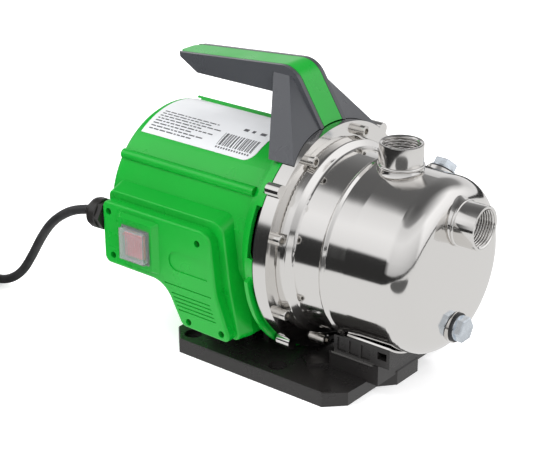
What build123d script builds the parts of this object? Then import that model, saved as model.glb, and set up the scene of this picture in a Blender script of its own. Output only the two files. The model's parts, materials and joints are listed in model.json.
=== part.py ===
"""Shallow well jet pump: stainless casing, green motor housing, carrying handle and base plate.

Frame: +X runs along the shaft towards the suction port, +Z is up, and the switch box is on the -Y
side. The origin is on the floor, under the shaft, in the front plane of the casing flange.
"""
import math
import os

from build123d import *

os.makedirs("parts", exist_ok=True)

# ---- driving dimensions ----
AXIS_Z = 112.0            # height of the shaft above the floor
FLANGE_R = 98.8           # casing flange
FLANGE_T = 3.0
BOLT_CIRCLE_R = 91.0
BOLT_COUNT = 8
BOLT_START_DEG = 73.4
BOLT_R = 3.0
BOLT_CLEARANCE = 0.25
EAR_CIRCLE_R = 99.5       # ears of the rim, half way between bolts
EAR_R = 5.8
EAR_START_DEG = 51.0
GASKET_T = 1.5
GASKET_X = -FLANGE_T - GASKET_T
BARREL_R = 75.5
CASING_WALL = 2.0
CASING_NOSE_X = 121.5

PORT_R = 18.5             # outside of both threaded sockets
THREAD_R = 15.15          # minor radius of a G1 internal thread
DISCHARGE_X = 61.0
DISCHARGE_SEAT_Z = 189.2
DISCHARGE_TOP_Z = 209.3
SUCTION_Z = 155.0
SUCTION_SEAT_X = 121.3
SUCTION_MOUTH_X = 142.0

PLUG_BORE_R = 5.72        # minor radius of a G1/4 internal thread
PLUG_STUB_R = 5.64
PLUG_STUB_LENGTH = 8.5
PLUG_SEAL_T = 1.6
PLUG_HEAD_R = 11.0
FILLER_X = 65.0
FILLER_DEG = 45.0
FILLER_SEAT_R = 78.5
DRAIN_Z = 62.5
DRAIN_SEAT_X = 120.8

HOUSING_R = 81.0          # round top of the motor housing
HOUSING_BORE_R = 76.5
HOUSING_REAR_X = -186.0
HOUSING_FRONT_X = -38.0
BOX_BACK_Y = -52.0        # switch box: back, parting plane, floor of its hollow, face of its cover
BOX_PART_Y = -88.0
BOX_FLOOR_Y = -78.0
BOX_FACE_Y = -98.0
BOX_WALL = 2.5

BASE_T = 13.2
MOUNT_HOLE_R = 4.5
MOUNT_HOLES = [(-9.3, -70.4), (-9.3, 70.4), (-104.0, -70.4), (-104.0, 70.4)]

SHAFT_R = 6.0
BEARING_R = 16.0
RUNNING_FIT = 0.05

CABLE_D = 8.5
CABLE_Y = -89.5
CABLE_Z = 111.5
CABLE_EXIT_X = -205.0

SHAFT = Axis((0, 0, AXIS_Z), (1, 0, 0))
ALONG = Plane(origin=(0, 0, AXIS_Z), x_dir=(1, 0, 0), z_dir=(0, -1, 0))   # x and radius
SIDE = Plane(origin=(0, 0, 0), x_dir=(1, 0, 0), z_dir=(0, -1, 0))         # x and height


def across(x):
    """Plane square to the shaft at x: its own x is +Y and its own y is +Z, from the shaft."""
    return Plane(origin=(x, 0, AXIS_Z), x_dir=(0, 1, 0), z_dir=(1, 0, 0))


def side(y):
    """Plane facing -Y at the given y: its own x is +X and its own y is the height."""
    return SIDE.offset(-y)


def polar(radius, degrees):
    """Point at an angle from +Y towards +Z, in a plane square to the shaft."""
    return (radius * math.cos(math.radians(degrees)), radius * math.sin(math.radians(degrees)))


def gland_plane(x):
    """Plane square to the cable where it leaves the box."""
    return Plane(origin=(x, CABLE_Y, CABLE_Z), z_dir=(1, 0, 0))


def finish(block, label):
    """Name a finished piece and write it."""
    block.part.label = label
    export_step(block.part, f"parts/{label}.step")


def bolt_points(radius=BOLT_CIRCLE_R, start=BOLT_START_DEG, count=BOLT_COUNT):
    """Places of evenly spread bolts about the shaft."""
    return [polar(radius, start + 360.0 / count * i) for i in range(count)]


def ear_points():
    """Places of the four ears of the rim."""
    return bolt_points(EAR_CIRCLE_R, EAR_START_DEG, 4)


def disc(plane, length, outer, inner=0.0, mode=Mode.ADD):
    """Add a disc or ring on a plane to the part being made, or cut it away."""
    with BuildSketch(plane) as section:
        Circle(outer)
        if inner:
            Circle(inner, mode=Mode.SUBTRACT)
    extrude(section.sketch, amount=length, mode=mode)


def discs(plane, points, length, radius, mode=Mode.ADD):
    """Add equal discs at points of a plane to the part being made, or cut them away."""
    with BuildSketch(plane) as section:
        with Locations(*points):
            Circle(radius)
    extrude(section.sketch, amount=length, mode=mode)


def block(plane, centre, width, height, length, mode=Mode.ADD):
    """Add a rectangular block on a plane to the part being made, or cut it away."""
    with BuildSketch(plane) as section:
        with Locations(centre):
            Rectangle(width, height)
    extrude(section.sketch, amount=length, mode=mode)


def turned(plane, points, axis, mode=Mode.ADD):
    """Turn a straight-sided half section about an axis, or cut that shape away."""
    with BuildSketch(plane) as section:
        with BuildLine():
            Polyline(*points, close=True)
        make_face()
    revolve(section.sketch, axis=axis, mode=mode)


# ---- base plate ----
BASE_CORNERS = [(-124.5, -67.5), (-107.5, -85.5), (48, -85.5), (63.5, -70), (63.5, -29), (75, -15.5)]
FACET_START = (-2.0, 46.0)  # the top falls away outside this line on each side
FACET_ACROSS = (0.625, 0.781)
FACET_DROP = 3.0
RING_RECESS_R = FLANGE_R + 1.2
BASE_SCREW_PLACES = [(-98, -20), (-98, 20), (-54, -20), (-54, 20)]
BASE_SCREW_R = 2.4
BASE_SCREW_HEAD_R = 4.6
SCREW_SEAT_Z = 5.6
BLOCK_TOP_Z = 28.0
SADDLE_TOP_Z = 46.0

with BuildPart() as base_plate:
    with BuildSketch():
        with BuildLine():
            mirrored = [(x, -y) for x, y in reversed(BASE_CORNERS)]
            Polyline(*BASE_CORNERS, *mirrored, close=True)
        make_face()
    extrude(amount=BASE_T)
    chamfer(base_plate.faces().sort_by(Axis.Z)[-1].edges(), length=1.0)
    for sign in (-1, 1):
        facet = Plane(
            origin=(FACET_START[0], sign * FACET_START[1], BASE_T),
            x_dir=(FACET_ACROSS[0], -sign * FACET_ACROSS[1], 0),
            z_dir=(-sign * FACET_ACROSS[1], -FACET_ACROSS[0], 0),
        )
        with BuildSketch(facet) as wedge:
            with BuildLine():
                Polyline((0, 0), (0, 2), (60, 2), (60, -FACET_DROP), close=True)
            make_face()
        extrude(wedge.sketch, amount=-sign * 80, mode=Mode.SUBTRACT)
    with BuildSketch(Plane.XY.offset(BASE_T - FACET_DROP)):
        with Locations((49, 0)):
            Rectangle(50, 86)
    extrude(amount=BLOCK_TOP_Z - BASE_T + FACET_DROP)
    with BuildSketch(Plane.XY.offset(BASE_T)):
        with Locations((-76, 0)):
            Rectangle(68, 84)
    extrude(amount=SADDLE_TOP_Z - BASE_T)
    with BuildSketch(across(-17)):
        Circle(RING_RECESS_R)
    extrude(amount=19.5, mode=Mode.SUBTRACT)
    with BuildSketch(across(-112)):
        Circle(HOUSING_R)
    extrude(amount=76, mode=Mode.SUBTRACT)
    with BuildSketch(Plane.XY.offset(BASE_T)):
        with Locations(*[(x, 0) for x in (-98, -76, -54)]):
            Rectangle(12, 90)
    extrude(amount=12, mode=Mode.SUBTRACT)
    with Locations(*[(x, y, BASE_T) for x, y in MOUNT_HOLES]):
        CounterBoreHole(MOUNT_HOLE_R, 8.0, 4.0)
    discs(Plane.XY, BASE_SCREW_PLACES, SADDLE_TOP_Z, BASE_SCREW_R + BOLT_CLEARANCE, Mode.SUBTRACT)
    discs(Plane.XY, BASE_SCREW_PLACES, SCREW_SEAT_Z, BASE_SCREW_HEAD_R + 0.6, Mode.SUBTRACT)
finish(base_plate, "base_plate")

# ---- cradle and foot under the casing ----
FOOT_T = 1.6
FOOT_HALF = 46.0
CRADLE_TOP_Z = 52.0
TRAY_TOP_Z = BLOCK_TOP_Z + FOOT_T
CRADLE_HALF = 44.6
FOOT_R = 76.9
FOOT_SPAN = 74.0          # degrees round the casing
BEAD_CLEAR_R = 80.4
BEAD_FRONT_X = 45.0
WEB_HALF = 6.0
FOOT_FRONT_X = 87.0

with BuildPart() as casing_cradle:
    block(Plane.XY.offset(TRAY_TOP_Z), (58, 0), 56, 2 * CRADLE_HALF, CRADLE_TOP_Z - TRAY_TOP_Z)
    disc(across(20), 80, FOOT_R + FOOT_T + 0.2, mode=Mode.SUBTRACT)
    disc(across(20), BEAD_FRONT_X - 20, BEAD_CLEAR_R, mode=Mode.SUBTRACT)
    for x in (38, 50, 62):
        for y in (-CRADLE_HALF, CRADLE_HALF):
            block(Plane.XY.offset(BLOCK_TOP_Z + 4), (x, y), 9, 2.4, 12, Mode.SUBTRACT)
    block(side(CRADLE_HALF + 1), (78.5, 39.5), 9, 6.5, 2 * CRADLE_HALF + 2, Mode.SUBTRACT)
    block(Plane.XY.offset(BLOCK_TOP_Z), (57, 0), 27, 2 * WEB_HALF + 1, 12, Mode.SUBTRACT)
finish(casing_cradle, "casing_cradle")

with BuildPart() as casing_foot:
    with BuildSketch(across(BEAD_FRONT_X)):
        with BuildLine():
            CenterArc((0, 0), FOOT_R, 270 - FOOT_SPAN / 2, FOOT_SPAN)
            CenterArc((0, 0), FOOT_R + FOOT_T, 270 - FOOT_SPAN / 2, FOOT_SPAN)
            Line(polar(FOOT_R, 270 - FOOT_SPAN / 2), polar(FOOT_R + FOOT_T, 270 - FOOT_SPAN / 2))
            Line(polar(FOOT_R, 270 + FOOT_SPAN / 2), polar(FOOT_R + FOOT_T, 270 + FOOT_SPAN / 2))
        make_face()
    extrude(amount=FOOT_FRONT_X - BEAD_FRONT_X)
    block(Plane.XY.offset(BLOCK_TOP_Z), (49, 0), 42, 2 * FOOT_HALF, FOOT_T)
    block(Plane.XY.offset(BLOCK_TOP_Z), (57, 0), 26, 2 * WEB_HALF, 8)
    disc(across(20), 80, FOOT_R, mode=Mode.SUBTRACT)
finish(casing_foot, "casing_foot")

# ---- casing ----
SHOULDER_R = 84.5
BEAD_X = 40.0
CORNER_R = 22.0
CASING_MOUTH_R = 82.5
DOME_R = 563.0            # the nearly flat front of the casing
NOSE_FLAT = 0.01          # flat at the very middle of the front


def dome_x(dome_r, radius):
    """Where a cap centred like the front of the casing stands, at a radius from the shaft."""
    return CASING_NOSE_X - DOME_R + math.sqrt(dome_r ** 2 - radius ** 2)


def casing_skin():
    """Outer half section of the drawn casing, solid to the axis."""
    with BuildSketch(ALONG) as section:
        with BuildLine():
            FilletPolyline(
                (0, 0), (0, 86), (8, SHOULDER_R), (12, 78.4), (BEAD_X - 2.5, 77.2), (BEAD_X, 79.6),
                (BEAD_X + 2.5, 76.6), (60, 75.6), (97, BARREL_R - 0.5),
                radius=[1.0, 2.0, 3.0, 1.0, 1.0, 1.0, 20.0],
            )
            corner_start = (97, BARREL_R - 0.5)
            dome_start = (dome_x(DOME_R, 53), 53)
            ThreePointArc(corner_start, (112.56, 68.56), dome_start)
            CenterArc((CASING_NOSE_X - DOME_R, 0), DOME_R, 0, math.degrees(math.asin(53 / DOME_R)))
            Line((CASING_NOSE_X, 0), (0, 0))
        make_face()
    return section.sketch


def casing_hollow():
    """Half section of the space inside the casing."""
    with BuildSketch(ALONG) as section:
        with BuildLine():
            FilletPolyline(
                (-FLANGE_T - 1, 0), (-FLANGE_T - 1, CASING_MOUTH_R), (6.5, CASING_MOUTH_R),
                (10.5, 76.4), (60, 73.6), (95, BARREL_R - 2.5),
                radius=[0.5, 1.5, 3.0, 20.0],
            )
            inner_r = DOME_R - CASING_WALL
            dome_start = (dome_x(inner_r, 52), 52)
            ThreePointArc((95, BARREL_R - 2.5), (110.0, 66.9), dome_start)
            CenterArc((CASING_NOSE_X - DOME_R, 0), inner_r, 0, math.degrees(math.asin(52 / inner_r)))
            Line((CASING_NOSE_X - CASING_WALL, 0), (-FLANGE_T - 1, 0))
        make_face()
    return section.sketch


FILLER_DIR = (0, math.cos(math.radians(FILLER_DEG)), math.sin(math.radians(FILLER_DEG)))


def filler_plane(radius):
    """Plane square to the filler plug, at a distance from the shaft."""
    y, z = polar(radius, FILLER_DEG)
    return Plane(origin=(FILLER_X, y, AXIS_Z + z), x_dir=(1, 0, 0), z_dir=FILLER_DIR)


def drain_plane(x):
    """Plane square to the drain plug at x."""
    return Plane(origin=(x, 0, DRAIN_Z), x_dir=(0, 1, 0), z_dir=(1, 0, 0))


def suction_plane(x):
    """Plane square to the suction port at x."""
    return Plane(origin=(x, 0, SUCTION_Z), x_dir=(0, 1, 0), z_dir=(1, 0, 0))


DISCHARGE_AXIS = Axis((DISCHARGE_X, 0, 0), (0, 0, 1))
SUCTION_AXIS = Axis((0, 0, SUCTION_Z), (1, 0, 0))
DISCHARGE_SECTION = Plane(origin=(DISCHARGE_X, 0, 0), x_dir=(1, 0, 0), z_dir=(0, -1, 0))
SUCTION_SECTION = Plane(origin=(0, 0, SUCTION_Z), x_dir=(0, 0, 1), z_dir=(0, 1, 0))
PLUG_BOSS_R = 13.5


def collar_section(plane, seat, mid, low):
    """Half section of a drawn collar that flares from a socket's seat into the casing."""
    with BuildSketch(plane) as section:
        with BuildLine():
            ThreePointArc((PORT_R + 0.2, seat), mid, low)
            Polyline(low, (low[0], low[1] - 8), (0, low[1] - 8), (0, seat), (PORT_R + 0.2, seat))
        make_face()
    return section.sketch


with BuildPart() as casing_shell:
    revolve(casing_skin(), axis=SHAFT)
    disc(across(CASING_NOSE_X - NOSE_FLAT), 1, 10, mode=Mode.SUBTRACT)
    disc(across(-FLANGE_T), FLANGE_T, FLANGE_R)
    discs(across(-FLANGE_T), ear_points(), FLANGE_T, EAR_R)
    disc(across(GASKET_X), GASKET_T, FLANGE_R, FLANGE_R - FLANGE_T / 2)
    discs(across(GASKET_X), ear_points(), GASKET_T, EAR_R)
    disc(across(GASKET_X), GASKET_T, FLANGE_R - FLANGE_T / 2, mode=Mode.SUBTRACT)
    revolve(
        collar_section(DISCHARGE_SECTION, DISCHARGE_SEAT_Z, (21.6, 183.0), (29, 178.5)),
        axis=DISCHARGE_AXIS,
    )
    revolve(
        collar_section(SUCTION_SECTION, SUCTION_SEAT_X, (21.6, 115.5), (28.5, 109)),
        axis=SUCTION_AXIS,
    )
    disc(filler_plane(60), FILLER_SEAT_R - 60, PLUG_BOSS_R)
    disc(drain_plane(100), DRAIN_SEAT_X - 100, PLUG_BOSS_R)
    revolve(casing_hollow(), axis=SHAFT, mode=Mode.SUBTRACT)
    disc(Plane((DISCHARGE_X, 0, 150)), 60, THREAD_R, mode=Mode.SUBTRACT)
    disc(suction_plane(90), 40, THREAD_R, mode=Mode.SUBTRACT)
    disc(filler_plane(60), 30, PLUG_BORE_R, mode=Mode.SUBTRACT)
    disc(drain_plane(100), 30, PLUG_BORE_R, mode=Mode.SUBTRACT)
    discs(across(-FLANGE_T), bolt_points(), FLANGE_T, BOLT_R + BOLT_CLEARANCE, Mode.SUBTRACT)
finish(casing_shell, "casing_shell")

BEAD_R = PORT_R + 1.3
MOUTH_CHAMFER = 1.2


def socket_points(root, mouth):
    """Half section of a socket: a tube with a weld bead at its root and a chamfered mouth."""
    return [
        (THREAD_R, root), (BEAD_R - 0.5, root), (BEAD_R, root + 0.8), (BEAD_R - 0.4, root + 1.9),
        (PORT_R, root + 2.6), (PORT_R, mouth - 0.4), (PORT_R - 0.4, mouth),
        (THREAD_R + MOUTH_CHAMFER, mouth), (THREAD_R, mouth - MOUTH_CHAMFER),
    ]


with BuildPart() as discharge_socket:
    turned(DISCHARGE_SECTION, socket_points(DISCHARGE_SEAT_Z, DISCHARGE_TOP_Z), DISCHARGE_AXIS)
finish(discharge_socket, "discharge_socket")

with BuildPart() as suction_socket:
    turned(SUCTION_SECTION, socket_points(SUCTION_SEAT_X, SUCTION_MOUTH_X), SUCTION_AXIS)
finish(suction_socket, "suction_socket")

# ---- filler and drain plugs ----
HEX_AF = 19.0
PLUG_SEAL_R = 12.4
COLLAR_T = 1.8
HEAD_T = 6.4


def hex_plug(seat, stub_end):
    """Hexagon plug: collar and head above the washer, and a stub in the bore below the seat."""
    disc(seat.offset(PLUG_SEAL_T), COLLAR_T, PLUG_HEAD_R)
    with BuildSketch(seat.offset(PLUG_SEAL_T + COLLAR_T)) as head:
        RegularPolygon(HEX_AF / 2, 6, major_radius=False)
    extrude(head.sketch, amount=HEAD_T)
    disc(stub_end, PLUG_STUB_LENGTH + PLUG_SEAL_T, PLUG_STUB_R)


with BuildPart() as filler_seal:
    disc(filler_plane(FILLER_SEAT_R), PLUG_SEAL_T, PLUG_SEAL_R, PLUG_STUB_R + 0.6)
finish(filler_seal, "filler_seal")

with BuildPart() as filler_plug:
    hex_plug(filler_plane(FILLER_SEAT_R), filler_plane(FILLER_SEAT_R - PLUG_STUB_LENGTH))
    chamfer(filler_plug.faces().sort_by(Axis((0, 0, 0), FILLER_DIR))[-1].edges(), length=0.9)
finish(filler_plug, "filler_plug")

with BuildPart() as drain_seal:
    disc(drain_plane(DRAIN_SEAT_X), PLUG_SEAL_T, PLUG_SEAL_R, PLUG_STUB_R + 0.6)
finish(drain_seal, "drain_seal")

with BuildPart() as drain_plug:
    hex_plug(drain_plane(DRAIN_SEAT_X), drain_plane(DRAIN_SEAT_X - PLUG_STUB_LENGTH))
    chamfer(drain_plug.faces().sort_by(Axis.X)[-1].edges(), length=0.9)
finish(drain_plug, "drain_plug")

# ---- gasket, pressure plate, motor bracket and flange bolts ----
PLATE_T = 1.5
PLATE_X = GASKET_X - PLATE_T
RIM_REAR_X = -13.0
RIM_WALL = 1.8
BRACKET_DISC_R = 96.4
EAR_NUT_R = 4.6
EAR_NUT_T = 1.8
BRACKET_REAR_X = -13.5
HEAD_R = 4.6
HEAD_LENGTH = 8.2
SOCKET_AF = 5.0
HUB_REAR_X = -38.0
SEAL_HOLE_R = 17.2
BOLT_HOLE_R = BOLT_R + BOLT_CLEARANCE

with BuildPart() as casing_gasket:
    disc(across(GASKET_X), GASKET_T, FLANGE_R - FLANGE_T / 2 - 0.2, 79)
    discs(across(GASKET_X), bolt_points(), GASKET_T, BOLT_HOLE_R, Mode.SUBTRACT)
finish(casing_gasket, "casing_gasket")

with BuildPart() as pressure_plate:
    disc(across(RIM_REAR_X), GASKET_X - RIM_REAR_X, FLANGE_R)
    discs(across(RIM_REAR_X), ear_points(), GASKET_X - RIM_REAR_X, EAR_R)
    disc(across(RIM_REAR_X), PLATE_X - RIM_REAR_X, FLANGE_R - RIM_WALL, mode=Mode.SUBTRACT)
    disc(across(PLATE_X), PLATE_T, SEAL_HOLE_R, mode=Mode.SUBTRACT)
    discs(across(PLATE_X), bolt_points(), PLATE_T, BOLT_HOLE_R, Mode.SUBTRACT)
finish(pressure_plate, "pressure_plate")

with BuildPart() as motor_bracket:
    disc(across(BRACKET_REAR_X), PLATE_X - BRACKET_REAR_X, BRACKET_DISC_R, 20.0)
    disc(across(BRACKET_REAR_X - 7), 7, 90.0, 84.0)
    disc(across(HUB_REAR_X), PLATE_X - HUB_REAR_X, 23.0, SHAFT_R + 2.0)
    disc(across(HUB_REAR_X), 14, BEARING_R + 0.1, mode=Mode.SUBTRACT)
    disc(across(PLATE_X - 5), 5, SEAL_HOLE_R, mode=Mode.SUBTRACT)
    with BuildSketch(across(BRACKET_REAR_X - 7)):
        with PolarLocations(53, 8, start_angle=BOLT_START_DEG):
            Rectangle(62, 5)
    extrude(amount=7)
    discs(across(BRACKET_REAR_X), bolt_points(), 10, BOLT_HOLE_R, Mode.SUBTRACT)
    discs(across(BRACKET_REAR_X), ear_points(), 1, EAR_NUT_R + 0.5, Mode.SUBTRACT)
finish(motor_bracket, "motor_bracket")

with BuildPart() as flange_bolts:
    discs(across(BRACKET_REAR_X), bolt_points(), -BRACKET_REAR_X, BOLT_R)
    discs(across(0), bolt_points(), HEAD_LENGTH, HEAD_R)
    chamfer(flange_bolts.faces().group_by(Axis.X)[-1].edges(), length=0.6)
    with BuildSketch(across(HEAD_LENGTH)):
        with Locations(*bolt_points()):
            RegularPolygon(SOCKET_AF / 2, 6, major_radius=False)
    extrude(amount=-4.5, mode=Mode.SUBTRACT)
finish(flange_bolts, "flange_bolts")

with BuildPart() as ear_nuts:
    discs(across(RIM_REAR_X - EAR_NUT_T), ear_points(), EAR_NUT_T, EAR_NUT_R)
    chamfer(ear_nuts.faces().group_by(Axis.X)[0].edges(), length=0.6)
finish(ear_nuts, "ear_nuts")

# ---- shaft seal, impeller, guide wheel and ejector ----
SEAL_SEAT_FRONT_X = -2.5
IMPELLER_X = 7.4
IMPELLER_R = 62.0
EYE_R = 20.0
NUT_R = 4.0

with BuildPart() as seal_seat:
    disc(across(PLATE_X - 3), GASKET_X - PLATE_X + 3, SEAL_HOLE_R - 0.2, SHAFT_R + 2.0)
    disc(across(GASKET_X), SEAL_SEAT_FRONT_X - GASKET_X, 20.0, SHAFT_R + 2.0)
finish(seal_seat, "seal_seat")

with BuildPart() as seal_rotary:
    disc(across(SEAL_SEAT_FRONT_X), 3.5, 12.0, SHAFT_R + RUNNING_FIT)
    disc(across(SEAL_SEAT_FRONT_X + 3.5), 6.2, 14.5, SHAFT_R + RUNNING_FIT)
finish(seal_rotary, "seal_rotary")

with BuildPart() as impeller:
    disc(across(IMPELLER_X), 19.4, 12.0)
    disc(across(IMPELLER_X + 1.6), 2.0, IMPELLER_R)
    disc(across(IMPELLER_X + 11.6), 2.0, IMPELLER_R, EYE_R)
    disc(across(IMPELLER_X + 13.6), 7.0, EYE_R + 2.0, EYE_R)
    with BuildSketch(across(IMPELLER_X + 3.6)):
        with PolarLocations(0, 6):
            with BuildLine():
                ThreePointArc((11, 0), (38, 20), (44, 42))
                ThreePointArc((46.5, 40.5), (40, 19.0), (11, -3))
                Line((44, 42), (46.5, 40.5))
                Line((11, -3), (11, 0))
            make_face()
    extrude(amount=8.0)
    disc(across(IMPELLER_X), 20, SHAFT_R + RUNNING_FIT, mode=Mode.SUBTRACT)
finish(impeller, "impeller")

with BuildPart() as impeller_nut:
    with BuildSketch(across(IMPELLER_X + 19.4)):
        RegularPolygon(6.5, 6, major_radius=False)
        Circle(NUT_R + RUNNING_FIT, mode=Mode.SUBTRACT)
    extrude(amount=6.0)
finish(impeller_nut, "impeller_nut")

GUIDE_X = 2.0
GUIDE_FRONT_X = 33.0

with BuildPart() as guide_wheel:
    disc(across(GUIDE_X), GUIDE_FRONT_X - GUIDE_X, 72.0, 66.0)
    disc(across(GUIDE_FRONT_X - 3), 3, 68.0, EYE_R + 2.7)
    with BuildSketch(across(GUIDE_X + 8)):
        with PolarLocations(69, 8):
            Rectangle(12, 22)
    extrude(amount=12, mode=Mode.SUBTRACT)
finish(guide_wheel, "guide_wheel")

EJECTOR_CHAMBER_X = 74.0
EJECTOR_FRONT_X = 104.0
DUCT_X = 92.0
DUCT_R = 14.0
SPIGOT_R = THREAD_R - 0.3
NOZZLE_R = 8.0

with BuildPart() as ejector_body:
    disc(across(GUIDE_FRONT_X), 3, 40.0)
    disc(across(GUIDE_FRONT_X), EJECTOR_CHAMBER_X - GUIDE_FRONT_X, 17.0)
    disc(across(EJECTOR_CHAMBER_X), EJECTOR_FRONT_X - EJECTOR_CHAMBER_X, 23.0)
    disc(Plane((DUCT_X, 0, AXIS_Z)), SUCTION_Z - AXIS_Z + 8, DUCT_R)
    disc(suction_plane(DUCT_X), 23, SPIGOT_R)
    turned(
        ALONG,
        [
            (GUIDE_FRONT_X - 1, 0), (GUIDE_FRONT_X - 1, 13), (58, 8), (70, 8),
            (EJECTOR_CHAMBER_X + 3, 14), (EJECTOR_CHAMBER_X + 3, 20), (EJECTOR_FRONT_X - 3, 20),
            (EJECTOR_FRONT_X - 3, 0),
        ],
        SHAFT, Mode.SUBTRACT,
    )
    disc(across(EJECTOR_FRONT_X - 4), 5, NOZZLE_R + 0.1, mode=Mode.SUBTRACT)
    disc(Plane((DUCT_X, 0, AXIS_Z)), SUCTION_Z - AXIS_Z, DUCT_R - 2.5, mode=Mode.SUBTRACT)
    disc(suction_plane(DUCT_X), 26, SPIGOT_R - 3, mode=Mode.SUBTRACT)
finish(ejector_body, "ejector_body")

with BuildPart() as ejector_nozzle:
    turned(
        ALONG,
        [
            (79, 2.4), (79, 4.2), (94, NOZZLE_R), (EJECTOR_FRONT_X, NOZZLE_R),
            (EJECTOR_FRONT_X, 6), (96, 5.6),
        ],
        SHAFT,
    )
finish(ejector_nozzle, "ejector_nozzle")

# ---- shaft, motor and bearings ----
SHAFT_REAR_X = -178.0
SHAFT_STEP_X = IMPELLER_X + 19.4
REAR_BRACKET_X = -160.0
CORE_X = -136.0
CORE_LENGTH = 70.0
CORE_R = 30.0
AIR_GAP = 0.5
STATOR_R = 62.0
SLOT_COUNT = 12
SLOT_R = 44.0
INSIDE_R = HOUSING_BORE_R - 0.4

with BuildPart() as shaft:
    disc(across(SHAFT_REAR_X), SHAFT_STEP_X - SHAFT_REAR_X, SHAFT_R)
    disc(across(SHAFT_STEP_X), 8.5, NUT_R)
    chamfer(shaft.faces().sort_by(Axis.X)[0].edges(), length=0.8)
finish(shaft, "shaft")

with BuildPart() as front_bearing:
    disc(across(HUB_REAR_X + 3.5), 10, BEARING_R, BEARING_R - 3.2)
    disc(across(HUB_REAR_X + 4.5), 8, BEARING_R - 3.2, SHAFT_R + 3.0)
    disc(across(HUB_REAR_X + 3.5), 10, SHAFT_R + 3.0, SHAFT_R + RUNNING_FIT)
finish(front_bearing, "front_bearing")

with BuildPart() as rear_bearing:
    disc(across(REAR_BRACKET_X - 3), 10, BEARING_R, BEARING_R - 3.2)
    disc(across(REAR_BRACKET_X - 2), 8, BEARING_R - 3.2, SHAFT_R + 3.0)
    disc(across(REAR_BRACKET_X - 3), 10, SHAFT_R + 3.0, SHAFT_R + RUNNING_FIT)
finish(rear_bearing, "rear_bearing")

with BuildPart() as rear_bracket:
    disc(across(REAR_BRACKET_X), 4, INSIDE_R)
    disc(across(REAR_BRACKET_X - 5), 14, 23.0)
    disc(across(REAR_BRACKET_X - 5), 12, BEARING_R + 0.1, mode=Mode.SUBTRACT)
    disc(across(REAR_BRACKET_X - 5), 20, SHAFT_R + 2.0, mode=Mode.SUBTRACT)
    with BuildSketch(across(REAR_BRACKET_X)):
        with PolarLocations(50, 6, start_angle=30):
            SlotOverall(30, 16, rotation=90)
    extrude(amount=4, mode=Mode.SUBTRACT)
finish(rear_bracket, "rear_bracket")

with BuildPart() as stator_core:
    disc(across(CORE_X), CORE_LENGTH, STATOR_R, CORE_R + AIR_GAP)
    with BuildSketch(across(CORE_X)):
        with PolarLocations(SLOT_R, SLOT_COUNT):
            Rectangle(18, 8)
        with PolarLocations(33, SLOT_COUNT):
            Rectangle(8, 3)
    extrude(amount=CORE_LENGTH, mode=Mode.SUBTRACT)
finish(stator_core, "stator_core")

with BuildPart() as stator_windings:
    disc(across(CORE_X - 10.3), 10, 54.0, 35.0)
    disc(across(CORE_X + CORE_LENGTH + 0.3), 10, 54.0, 35.0)
    with BuildSketch(across(CORE_X - 5)):
        with PolarLocations(SLOT_R, SLOT_COUNT):
            Rectangle(17, 7)
    extrude(amount=CORE_LENGTH + 10)
    fillet(stator_windings.faces().sort_by(Axis.X)[0].edges(), radius=3.5)
    fillet(stator_windings.faces().sort_by(Axis.X)[-1].edges(), radius=3.5)
finish(stator_windings, "stator_windings")

with BuildPart() as rotor_core:
    disc(across(CORE_X), CORE_LENGTH, CORE_R, SHAFT_R + RUNNING_FIT)
    disc(across(CORE_X - 4), CORE_LENGTH + 8, CORE_R - 3, CORE_R - 11)
finish(rotor_core, "rotor_core")

FAN_X = -175.0
FAN_R = 68.0

with BuildPart() as cooling_fan:
    disc(across(FAN_X), 8, 14.0)
    disc(across(FAN_X + 6), 2, FAN_R)
    with BuildSketch(across(FAN_X)):
        with PolarLocations(39, 9):
            Rectangle(54, 2)
    extrude(amount=7)
    disc(across(FAN_X), 9, SHAFT_R + RUNNING_FIT, mode=Mode.SUBTRACT)
finish(cooling_fan, "cooling_fan")

# ---- motor housing ----
RAIL_DEG = 142.5
RIDGE_R = 84.8
FLAT_EDGE = 17.8
COVER_SCREW_R = 1.7
GLAND_X = -183.6
GLAND_R = 13.6
GLAND_HOLE_R = 7.2
BOSS_R = 5.2
SCREW_PLACES = [(-174.9, 120.1), (-171.1, 79.9), (-73.6, 116.7), (-84.7, 41.0), (-48.2, 40.9)]
BOX_RADII = [6.0, 13.0, 40.0, 5.0, 8.0, 25.0, 7.0]
COVER_CORNERS = [
    (-182.5, 129), (-60, 129), (-54, 76), (-38.5, 34), (-92.5, 35), (-112, 70.5), (-182, 71),
]
LIP_CORNERS = [
    (-183.5, 135.5), (-53.5, 135.5), (-46.5, 80), (-36.5, 33.5), (-93, 33.5), (-113, 69.5), (-183, 70),
]
FOOT_CORNERS = [
    (-183.5, 141), (-50, 141), (-42.5, 86), (-32.5, 34), (-93, 33), (-113, 69), (-183, 69.5),
]
BOX_FOOT_Y = -74.0


def housing_section():
    """Cross section of the motor housing: round top, rails, and flats on the switch side."""
    with BuildSketch(across(HOUSING_REAR_X)) as section:
        with BuildLine():
            ThreePointArc(polar(80, -90), polar(80, -20), polar(80, 50))
            Line(polar(80, 50), polar(RIDGE_R, 50.5))
            ThreePointArc(polar(RIDGE_R, 50.5), polar(RIDGE_R, 58), polar(RIDGE_R, 65.5))
            Line(polar(RIDGE_R, 65.5), polar(HOUSING_R, 67))
            ThreePointArc(polar(HOUSING_R, 67), polar(HOUSING_R, 97), polar(HOUSING_R, 127.5))
            Line(polar(HOUSING_R, 127.5), polar(81.5, 139.3))
            ThreePointArc(polar(81.5, 139.3), polar(85.8, RAIL_DEG), polar(81.0, 145.6))
            Line(polar(81.0, 145.6), (BOX_FLOOR_Y, FLAT_EDGE))
            Line((BOX_FLOOR_Y, FLAT_EDGE), (BOX_FLOOR_Y, -FLAT_EDGE))
            ThreePointArc((BOX_FLOOR_Y, -FLAT_EDGE), polar(80, 230), polar(80, 270))
        make_face()
    return section.sketch


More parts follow.
